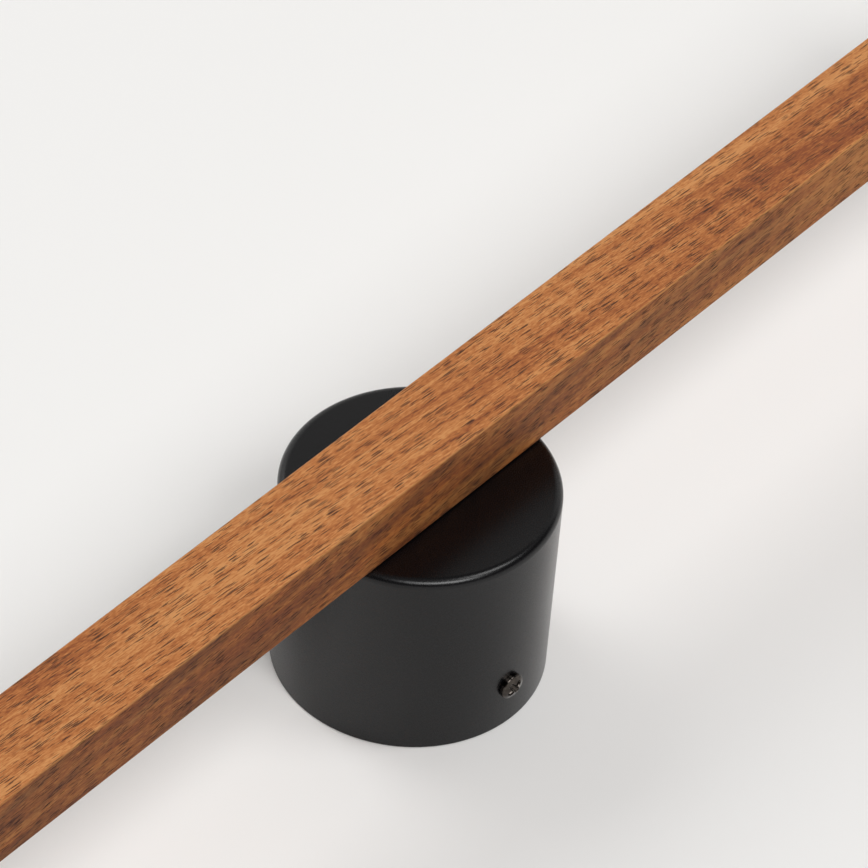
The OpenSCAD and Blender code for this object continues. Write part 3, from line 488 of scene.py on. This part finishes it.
# %% Table of inner finishes
INNER = {
    # Zinc plate: a bluish grey with cloudy spangle.
    "zinc_steel": ("zinc-plated steel", "#a9adb3", "#c9ccd0",
        (1.5, 1.5, 1.5), (0.28, 0.42), 1.0, 1.5, 2e-6),
    # Turned brass: warm yellow with slight tarnish.
    "brass": ("turned brass", "#b08d4c", "#d2b36c",
        (0.8, 0.8, 0.8), (0.22, 0.38), 1.0, 1.5, 2e-6),
    # Natural nylon: milky, waxy.
    "nylon": ("moulded natural nylon", "#d9d2c0", "#e8e2d2",
        (2.5, 2.5, 2.5), (0.42, 0.55), 0.0, 1.53, 4e-6),
    # Rubber: black with a greyish bloom.
    "rubber": ("moulded black rubber", "#1c1c1d", "#2a2a2b",
        (0.6, 0.6, 0.6), (0.65, 0.8), 0.0, 1.52, 8e-6),
    # White plastic: spark-eroded mould, fine matt grain.
    "white_plastic": ("moulded white plastic", "#e2e2de", "#ecece9",
        (0.4, 0.4, 0.4), (0.45, 0.6), 0.0, 1.46, 8e-6),
    # Circuit board: green solder mask over woven glass.
    "board": ("green circuit board", "#1c5230", "#2a6a3f",
        (1.2, 1.2, 0.3), (0.3, 0.42), 0.0, 1.5, 4e-6),
    # Components: dark moulded epoxy, slightly speckled.
    "component": ("dark moulded epoxy", "#2f2f2f", "#454544",
        (0.5, 0.5, 0.5), (0.5, 0.65), 0.0, 1.55, 6e-6),
    # Brown lead: smooth extruded PVC.
    "lead_brown": ("extruded brown PVC", "#553f2f", "#64493a",
        (6, 6, 6), (0.35, 0.45), 0.0, 1.53, 2e-6),
    # White lead: smooth extruded PVC.
    "lead_white": ("extruded white PVC", "#dddbd5", "#e7e5e0",
        (6, 6, 6), (0.35, 0.45), 0.0, 1.53, 2e-6),
    # Rolled aluminium: fine lines along the strip.
    "aluminium": ("rolled aluminium", "#bdbfc2", "#d3d5d7",
        (60, 0.3, 0.3), (0.3, 0.45), 1.0, 1.5, 3e-6),
    # LED strip: white solder mask on flexible film.
    "led_strip": ("white flexible circuit", "#e6dfd2", "#f3ede2",
        (3, 3, 1.2), (0.4, 0.5), 0.0, 1.5, 2e-6),
    # Phosphor: yellow gel with fine powder in it.
    "led_phosphor": ("yellow phosphor gel", "#e3bd3f", "#f2d162",
        (0.25, 0.25, 0.25), (0.25, 0.35), 0.0, 1.41, 4e-6),
}

for slot, (name, dark, light, spots_mm, (smooth, rough), metallic, ior, depth) in INNER.items():
    tree, shader, place_mm = start_finish(slot, name, smooth, ior, metallic)
    scaled = add(tree, "Mapping", {"Vector": place_mm, "Scale": tuple(1 / s for s in spots_mm)})
    spots = add(tree, "TexNoise", {"Vector": scaled, "Scale": 1.0, "Detail": 2.0})
    blend = add(tree, "ValToRGB", {"Fac": spots})
    stops(blend, (NOISE_LOW, dark), (NOISE_HIGH, light))
    dull = add(tree, "MapRange", {"Value": spots, 1: NOISE_LOW, 2: NOISE_HIGH, 3: smooth, 4: rough})
    bump = add(tree, "Bump", {"Height": spots, "Distance": depth, "Strength": 0.5})
    tree.links.new(blend.outputs["Color"], shader.inputs["Base Color"])
    tree.links.new(dull.outputs[0], shader.inputs["Roughness"])
    tree.links.new(bump.outputs["Normal"], shader.inputs["Normal"])
print("inner finishes:", len(INNER))

# %% [markdown]
# The earth lead is the one two-coloured lead: green PVC with a yellow stripe along it. It lies
# flat, so level bands of about its own thickness read as stripes along its length. A wave texture
# repeats every 2 pi / (20 x scale), which is close to 2 mm here.

# %% Earth lead
STRIPE_SCALE = 0.16
earth, sheath, place_mm = start_finish("lead_earth", "green and yellow PVC", 0.4, ior=1.53)
level_bands = add(earth, "TexWave", {"Vector": place_mm, "Scale": STRIPE_SCALE, "Distortion": 0.4},
                  bands_direction="Z")
stripe = add(earth, "ValToRGB", {"Fac": level_bands})
stops(stripe, (0.47, "#4f8a3c"), (0.53, "#d9cf3e"))
earth.links.new(stripe.outputs["Color"], sheath.inputs["Base Color"])
print("earth stripe every", round(2 * np.pi / (20 * STRIPE_SCALE), 1), "mm")

# %% [markdown]
# ## Dressing the CAD nodes
# Every CAD node comes with a plain material that is named after its slot in the record. The finish
# of the same slot takes its place, and mesh and position stay as they are.

# %% Put the finishes on the CAD nodes
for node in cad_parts.values():
    for holder in node.material_slots:
        holder.material = finishes[holder.material.name.split(".")[0]]
print("dressed", len(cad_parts), "nodes with", len(finishes), "finishes")

# %% [markdown]
# ## The canopy screws
# Two pan-head screws hold the canopy to the wall plate. The CAD screw is a plain head on a plain
# rod. The real one has a soft dome, a cross recess with sloping wings and a rolled thread. One
# surface does it all: a profile from the dome's middle over the rim and down the shank, turned
# round the axis, where the recess lowers the dome and the thread wave moves the shank's radius.

# %% Profile of a screw
HEAD_RADIUS, HEAD_HEIGHT = 4.0, 2.4
SHANK_RADIUS, SHANK_LENGTH = 2.0, 6.0
RIM_ROUND = 0.45
CROWN = 0.95
SEAT_EASE, TIP_CHAMFER = 0.1, 0.3
DOME_STEPS, RIM_STEPS, SHANK_STEPS, TURN_STEPS = 60, 14, 70, 160


def screw_profile():
    """Radius and height in mm down the profile: dome, rounded rim, seat, then shank to its tip."""
    dome_r = np.linspace(0.0, HEAD_RADIUS - RIM_ROUND, DOME_STEPS)
    crown = CROWN * (dome_r / (HEAD_RADIUS - RIM_ROUND)) ** 2
    bow = np.linspace(0.0, np.pi / 2, RIM_STEPS)[1:]
    rim_r = HEAD_RADIUS - RIM_ROUND + RIM_ROUND * np.sin(bow)
    rim_h = HEAD_HEIGHT - CROWN - RIM_ROUND * (1 - np.cos(bow))
    seat_r = np.array((HEAD_RADIUS, HEAD_RADIUS - SEAT_EASE, SHANK_RADIUS + SEAT_EASE, SHANK_RADIUS))
    seat_h = np.array((SEAT_EASE, 0.0, 0.0, -SEAT_EASE))
    shank_h = np.linspace(-1.5 * SEAT_EASE, TIP_CHAMFER - SHANK_LENGTH, SHANK_STEPS)
    tip = np.array(((SHANK_RADIUS - TIP_CHAMFER, -SHANK_LENGTH), (0.0, -SHANK_LENGTH)))
    radius = np.concatenate((dome_r, rim_r, seat_r, np.full_like(shank_h, SHANK_RADIUS), tip[:, 0]))
    height = np.concatenate((HEAD_HEIGHT - crown, rim_h, seat_h, shank_h, tip[:, 1]))
    return radius, height


profile_radius, profile_height = screw_profile()
print("profile has", len(profile_radius), "points")

# %% [markdown]
# The recess needs no cutting tool: it is a depth that depends on the distance from two crossed
# lines and from the axis. The thread is a wave that climbs one pitch with each turn.

# %% The turned surface
RECESS_REACH, RECESS_WIDTH, RECESS_DEPTH = 2.7, 1.3, 1.7
RECESS_FLANK, RECESS_FLOOR, RECESS_CURVE = 0.55, 1.15, 0.7
THREAD_PITCH, THREAD_DEPTH, THREAD_START = 0.7, 0.28, -0.4


def screw_surface(recess_turn):
    """Grid of points (rows down the profile, columns round the axis), in mm along +Z.
    Recess: depth times a slope that falls from 1 near the axis to 0 at the reach, inside a cross
    whose arms have sloping flanks. Thread: radius less depth times a triangle wave of
    height / pitch - turn."""
    turn = np.linspace(0.0, 2 * np.pi, TURN_STEPS, endpoint=False)[None, :]
    radius = np.repeat(profile_radius[:, None], TURN_STEPS, axis=1)
    height = np.repeat(profile_height[:, None], TURN_STEPS, axis=1)
    across = np.abs(radius * np.cos(turn - recess_turn))
    along = np.abs(radius * np.sin(turn - recess_turn))
    arm = np.clip((RECESS_WIDTH / 2 - np.minimum(across, along)) / RECESS_FLANK + 0.5, 0, 1)
    slope = np.clip(RECESS_FLOOR * (1 - radius / RECESS_REACH), 0, 1) ** RECESS_CURVE
    on_dome = height > HEAD_HEIGHT / 2
    height = height - RECESS_DEPTH * on_dome * slope * arm
    wave = np.abs((height / THREAD_PITCH - turn / (2 * np.pi)) % 1.0 - 0.5) * 2
    on_shank = (height < THREAD_START) & (radius >= SHANK_RADIUS)
    radius = radius - THREAD_DEPTH * on_shank * wave
    return np.stack((radius * np.cos(turn), radius * np.sin(turn), height), axis=-1)


print("recess", RECESS_DEPTH, "mm deep, thread pitch", THREAD_PITCH, "mm")

# %% [markdown]
# A turned surface is a grid whose columns close into a ring. At both ends of the profile the ring
# shrinks to a point, which has to be a single vertex if the mesh is to be closed.

# %% Grid to mesh
def turned_mesh(grid, start):
    """Points and faces of a turned grid, numbered from start. Its first and last rows are single
    poles, each closed by a fan of triangles, and quads join the rows between them."""
    rows, columns = grid.shape[:2]
    between = grid[1:-1].reshape(-1, 3)
    index = start + np.arange(len(between)).reshape(rows - 2, columns)
    beside = np.roll(index, -1, axis=1)
    quads = np.stack((index[:-1], index[1:], beside[1:], beside[:-1]), axis=-1).reshape(-1, 4)
    first_pole, last_pole = start + len(between), start + len(between) + 1
    first_fan = np.stack((np.full(columns, first_pole), index[0], beside[0]), axis=-1)
    last_fan = np.stack((np.full(columns, last_pole), beside[-1], index[-1]), axis=-1)
    points = np.concatenate((between, grid[:1, 0], grid[-1:, 0]))
    return points, quads.tolist() + first_fan.tolist() + last_fan.tolist()


print("a screw has", (len(profile_radius) - 2) * TURN_STEPS + 2, "points")

# %% [markdown]
# Each screw lies along its own direction, at the height of the canopy's screw holes. Both go into
# one object, because the record holds them as one node.

# %% Set the screws into the canopy
SCREW_SEAT_MM, SCREW_HEIGHT_MM = 40.0, 15.5
SCREWS_DEG = ((85, 20), (265, 38))
points, faces = np.empty((0, 3)), []
for direction_deg, recess_deg in SCREWS_DEG:
    direction = np.radians(direction_deg)
    outward = np.array((np.cos(direction), np.sin(direction), 0.0))
    aside = np.array((-np.sin(direction), np.cos(direction), 0.0))
    lying = screw_surface(np.radians(recess_deg))
    placed = (lying[..., :1] * aside + lying[..., 1:2] * np.array((0.0, 0.0, 1.0))
              + (lying[..., 2:] + SCREW_SEAT_MM) * outward)
    placed[..., 2] += SCREW_HEIGHT_MM
    screw_points, screw_faces = turned_mesh(placed, len(points))
    points = np.concatenate((points, screw_points))
    faces += screw_faces

screw_mesh = bpy.data.meshes.new("canopy_screws_threaded")
screw_mesh.from_pydata((points * MM).tolist(), [], faces)
screws = bpy.data.objects.new("canopy_screws_threaded", screw_mesh)
bpy.context.scene.collection.objects.link(screws)
screw_mesh.materials.append(finishes["black_screw"])
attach(screws, "wall_base")
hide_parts("canopy_screws")
print("two screws with", len(screw_mesh.polygons), "faces")
